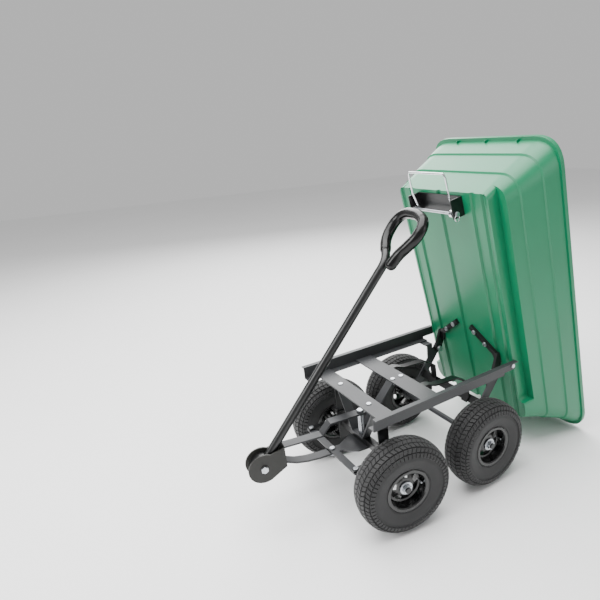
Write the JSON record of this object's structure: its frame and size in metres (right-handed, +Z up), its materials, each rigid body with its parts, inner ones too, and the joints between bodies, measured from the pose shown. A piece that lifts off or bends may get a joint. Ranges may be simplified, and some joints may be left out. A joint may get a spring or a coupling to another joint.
{
  "type": "garden dump cart",
  "caption": "Wheeled garden dump cart with a tipping moulded poly tub on a steel frame, a steered front axle and a long swinging pull handle with a loop grip.",
  "frame": {"origin": "on the ground, under the middle of the cart's length and width as shown, tub tipped up", "axes": "+Z up, -X towards the hitch, +X towards the tipping end, +Y towards the far side"},
  "size_m": [1.0246, 0.5224, 0.9391],
  "materials": {
    "tub_poly": "satin moulded green polyethylene, faintly grained",
    "frame_paint": "satin dark grey powder coat",
    "black_paint": "semi-gloss black powder coat",
    "rim_paint": "semi-gloss black enamel on pressed steel",
    "hitch_paint": "satin charcoal paint",
    "tyre": "dull black rubber, knobbed tread",
    "grip_rubber": "satin black rubber sleeve",
    "zinc_fasteners": "bright zinc plate",
    "bail_wire": "bright plated wire"
  },
  "bodies": {
    "frame": {"axle_clevis_far": "black_paint", "axle_clevis_near": "black_paint", "centre_strap": "frame_paint", "front_axle_beam": "black_paint", "front_cross_plate": "frame_paint", "front_post_far": "black_paint", "front_post_near": "black_paint", "hub_nut_rear_far": "zinc_fasteners", "hub_nut_rear_near": "zinc_fasteners", "king_brace": "frame_paint", "middle_cross_plate": "frame_paint", "plate_bolt_1": "zinc_fasteners", "plate_bolt_2": "zinc_fasteners", "plate_bolt_3": "zinc_fasteners", "plate_bolt_4": "zinc_fasteners", "rear_axle": "frame_paint", "rear_brace_far": "black_paint", "rear_brace_near": "black_paint", "rear_cross_bar": "black_paint", "rear_post_far": "frame_paint", "rear_post_near": "frame_paint", "side_rail_far": "frame_paint", "side_rail_near": "frame_paint", "steering_pin_far": "zinc_fasteners", "steering_pin_near": "zinc_fasteners", "tipping_pin_far": "zinc_fasteners", "tipping_pin_near": "zinc_fasteners"},
    "tub": {"latch_bracket": "black_paint", "latch_rod": "zinc_fasteners", "leg_bolt_far_1": "zinc_fasteners", "leg_bolt_far_2": "zinc_fasteners", "leg_bolt_near_1": "zinc_fasteners", "leg_bolt_near_2": "zinc_fasteners", "tipping_leg_far": "black_paint", "tipping_leg_near": "black_paint", "tub_shell": "tub_poly"},
    "latch_bail": {"latch_bail": "bail_wire"},
    "tongue": {"hitch_block": "hitch_paint", "hitch_pin": "zinc_fasteners", "king_pin": "zinc_fasteners", "tongue_bolt": "zinc_fasteners", "tongue_lower_bar": "frame_paint", "tongue_upper_bar": "frame_paint"},
    "handle": {"handle_grip": "grip_rubber", "handle_tube": "black_paint"},
    "tie_rod": {"tie_rod": "frame_paint", "tie_rod_bolt_far": "zinc_fasteners", "tie_rod_bolt_near": "zinc_fasteners"},
    "knuckle_near": {"hub_nut_front_near": "zinc_fasteners", "knuckle_near": "black_paint"},
    "knuckle_far": {"hub_nut_front_far": "zinc_fasteners", "knuckle_far": "black_paint"},
    "wheel_front_near": {"rim_front_near": "rim_paint", "tyre_front_near": "tyre"},
    "wheel_front_far": {"rim_front_far": "rim_paint", "tyre_front_far": "tyre"},
    "wheel_rear_near": {"rim_rear_near": "rim_paint", "tyre_rear_near": "tyre"},
    "wheel_rear_far": {"rim_rear_far": "rim_paint", "tyre_rear_far": "tyre"}
  },
  "joints": [
    {"name": "tub_tilt", "type": "hinge", "parent": "frame", "child": "tub", "pos_m": [0.1999, 0, 0.274], "axis": [0, 1, 0], "range_deg": [-77.6, 0]},
    {"name": "handle_swing", "type": "hinge", "parent": "tongue", "child": "handle", "pos_m": [-0.46976, 0.03911, 0.174], "axis": [0.1392, 0.9903, 0], "range_deg": [-105, 0]},
    {"name": "tongue_steer", "type": "hinge", "parent": "frame", "child": "tongue", "pos_m": [-0.1915, 0, 0.15], "axis": [0, 0, 1], "range_deg": [-6, 22]},
    {"name": "tie_rod_turn", "type": "hinge", "parent": "tongue", "child": "tie_rod", "pos_m": [-0.2826, 0.0128, 0.1508], "axis": [0, 0, 1], "range_deg": [-22, 6]},
    {"name": "knuckle_near_turn", "type": "hinge", "parent": "frame", "child": "knuckle_near", "pos_m": [-0.1915, -0.128, 0.15], "axis": [0, 0, 1], "range_deg": [-6, 22]},
    {"name": "knuckle_far_turn", "type": "hinge", "parent": "frame", "child": "knuckle_far", "pos_m": [-0.1915, 0.128, 0.15], "axis": [0, 0, 1], "range_deg": [-6, 22]},
    {"name": "wheel_front_near_spin", "type": "hinge", "parent": "knuckle_near", "child": "wheel_front_near", "pos_m": [-0.2025, -0.20623, 0.127], "axis": [0.1392, 0.9903, 0], "continuous": true},
    {"name": "wheel_front_far_spin", "type": "hinge", "parent": "knuckle_far", "child": "wheel_front_far", "pos_m": [-0.1805, 0.20623, 0.127], "axis": [0.1392, 0.9903, 0], "continuous": true},
    {"name": "wheel_rear_near_spin", "type": "hinge", "parent": "frame", "child": "wheel_rear_near", "pos_m": [0.0835, -0.207, 0.127], "axis": [0, 1, 0], "continuous": true},
    {"name": "wheel_rear_far_spin", "type": "hinge", "parent": "frame", "child": "wheel_rear_far", "pos_m": [0.0835, 0.207, 0.127], "axis": [0, 1, 0], "continuous": true},
    {"name": "bail_pull", "type": "hinge", "parent": "tub", "child": "latch_bail", "pos_m": [0.09851, 0, 0.75504], "axis": [0, 1, 0], "range_deg": [0, 25]}
  ],
  "couplings": [
    {"joint": "handle_swing", "follows": "tub_tilt", "ratio": 1.353},
    {"joint": "tie_rod_turn", "follows": "tongue_steer", "ratio": -1},
    {"joint": "knuckle_near_turn", "follows": "tongue_steer", "ratio": 1},
    {"joint": "knuckle_far_turn", "follows": "tongue_steer", "ratio": 1}
  ]
}
